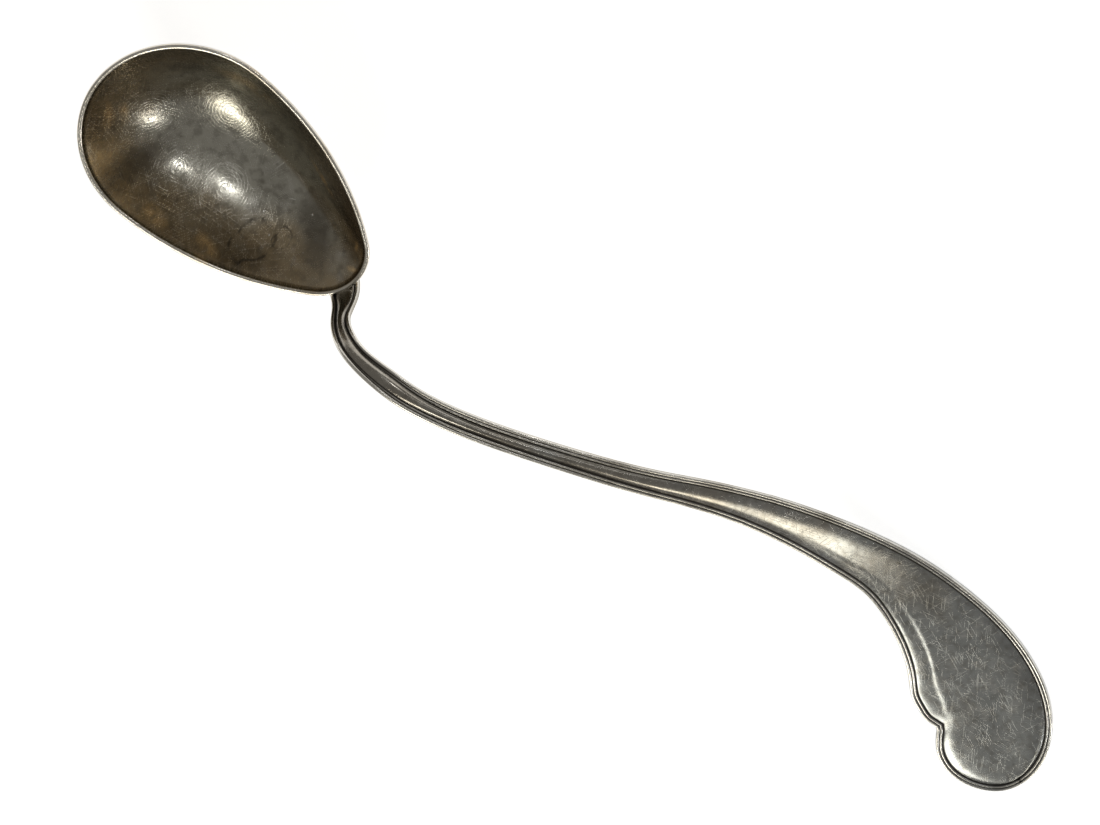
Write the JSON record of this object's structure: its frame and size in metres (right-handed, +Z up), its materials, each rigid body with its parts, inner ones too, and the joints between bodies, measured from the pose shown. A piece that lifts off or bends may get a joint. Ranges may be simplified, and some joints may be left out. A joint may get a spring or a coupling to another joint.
{
  "type": "serving ladle",
  "caption": "Serving ladle with a deep egg-shaped bowl, a raised curved neck and a slender handle that widens into a flat, side-notched end.",
  "frame": {"origin": "middle of the footprint on the table, under the ladle's bounding box", "axes": "+X from the bowl to the end of the handle, +Y to the side that the handle bows to, +Z up from the table"},
  "size_m": [0.3438, 0.0722, 0.054],
  "materials": {
    "silver_plate": "aged silver plate, satin with fine scratches and a grey-brown patina"
  },
  "bodies": {
    "root": {"ladle": "silver_plate"}
  },
  "joints": []
}
